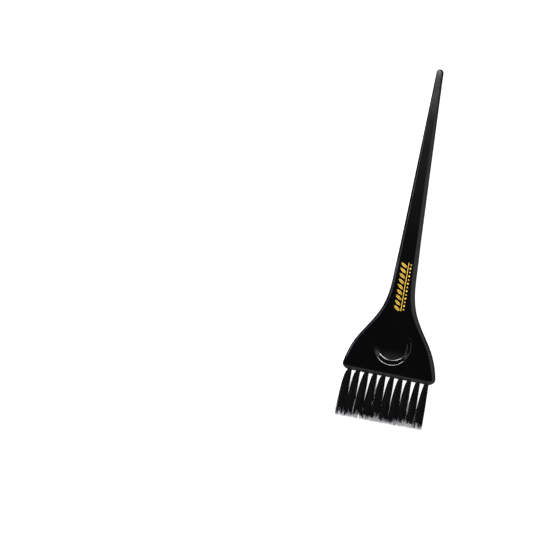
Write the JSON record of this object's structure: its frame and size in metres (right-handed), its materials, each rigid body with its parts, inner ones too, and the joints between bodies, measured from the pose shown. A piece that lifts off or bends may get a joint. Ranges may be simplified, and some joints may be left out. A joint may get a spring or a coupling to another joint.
{
  "type": "tint brush",
  "caption": "Flat salon tint brush: a slim tapered handle flares into a wide head with round thumb dishes and a row of black bristle tufts.",
  "frame": {"origin": "on the back face's plane, at the middle of the brush's length and width", "axes": "+Y along the handle to its tail, the bristles point to -Y; +Z out of the front face; +X across the head"},
  "size_m": [0.0604, 0.2185, 0.0038],
  "materials": {
    "handle_plastic": "polished black moulded plastic",
    "bristle": "satin black nylon filament with pale tips",
    "anchor_metal": "plain drawn strip",
    "gold_print": "hot-stamped gold foil"
  },
  "bodies": {
    "handle": {"handle": "handle_plastic", "tuft_root_01": "bristle", "tuft_root_02": "bristle", "tuft_root_03": "bristle", "tuft_root_04": "bristle", "tuft_root_05": "bristle", "tuft_root_06": "bristle", "tuft_root_07": "bristle", "tuft_root_08": "bristle", "tuft_root_09": "bristle", "tuft_root_10": "bristle", "anchor_01": "anchor_metal", "anchor_02": "anchor_metal", "anchor_03": "anchor_metal", "anchor_04": "anchor_metal", "anchor_05": "anchor_metal", "anchor_06": "anchor_metal", "anchor_07": "anchor_metal", "anchor_08": "anchor_metal", "anchor_09": "anchor_metal", "anchor_10": "anchor_metal"},
    "bristles_01": {"tuft_01": "bristle"},
    "bristles_02": {"tuft_02": "bristle"},
    "bristles_03": {"tuft_03": "bristle"},
    "bristles_04": {"tuft_04": "bristle"},
    "bristles_05": {"tuft_05": "bristle"},
    "bristles_06": {"tuft_06": "bristle"},
    "bristles_07": {"tuft_07": "bristle"},
    "bristles_08": {"tuft_08": "bristle"},
    "bristles_09": {"tuft_09": "bristle"},
    "bristles_10": {"tuft_10": "bristle"}
  },
  "joints": [
    {"name": "flex_01", "type": "hinge", "parent": "handle", "child": "bristles_01", "pos_m": [-0.0252, -0.08225, 0.0019], "axis": [1, 0, 0], "range_deg": [-40, 40], "stiffness_Nm_per_rad": 0.0024},
    {"name": "flex_02", "type": "hinge", "parent": "handle", "child": "bristles_02", "pos_m": [-0.0196, -0.08225, 0.0019], "axis": [1, 0, 0], "range_deg": [-40, 40], "stiffness_Nm_per_rad": 0.0024},
    {"name": "flex_03", "type": "hinge", "parent": "handle", "child": "bristles_03", "pos_m": [-0.014, -0.08225, 0.0019], "axis": [1, 0, 0], "range_deg": [-40, 40], "stiffness_Nm_per_rad": 0.0024},
    {"name": "flex_04", "type": "hinge", "parent": "handle", "child": "bristles_04", "pos_m": [-0.0084, -0.08225, 0.0019], "axis": [1, 0, 0], "range_deg": [-40, 40], "stiffness_Nm_per_rad": 0.0024},
    {"name": "flex_05", "type": "hinge", "parent": "handle", "child": "bristles_05", "pos_m": [-0.0028, -0.08225, 0.0019], "axis": [1, 0, 0], "range_deg": [-40, 40], "stiffness_Nm_per_rad": 0.0024},
    {"name": "flex_06", "type": "hinge", "parent": "handle", "child": "bristles_06", "pos_m": [0.0028, -0.08225, 0.0019], "axis": [1, 0, 0], "range_deg": [-40, 40], "stiffness_Nm_per_rad": 0.0024},
    {"name": "flex_07", "type": "hinge", "parent": "handle", "child": "bristles_07", "pos_m": [0.0084, -0.08225, 0.0019], "axis": [1, 0, 0], "range_deg": [-40, 40], "stiffness_Nm_per_rad": 0.0024},
    {"name": "flex_08", "type": "hinge", "parent": "handle", "child": "bristles_08", "pos_m": [0.014, -0.08225, 0.0019], "axis": [1, 0, 0], "range_deg": [-40, 40], "stiffness_Nm_per_rad": 0.0024},
    {"name": "flex_09", "type": "hinge", "parent": "handle", "child": "bristles_09", "pos_m": [0.0196, -0.08225, 0.0019], "axis": [1, 0, 0], "range_deg": [-40, 40], "stiffness_Nm_per_rad": 0.0024},
    {"name": "flex_10", "type": "hinge", "parent": "handle", "child": "bristles_10", "pos_m": [0.0252, -0.08225, 0.0019], "axis": [1, 0, 0], "range_deg": [-40, 40], "stiffness_Nm_per_rad": 0.0024}
  ]
}
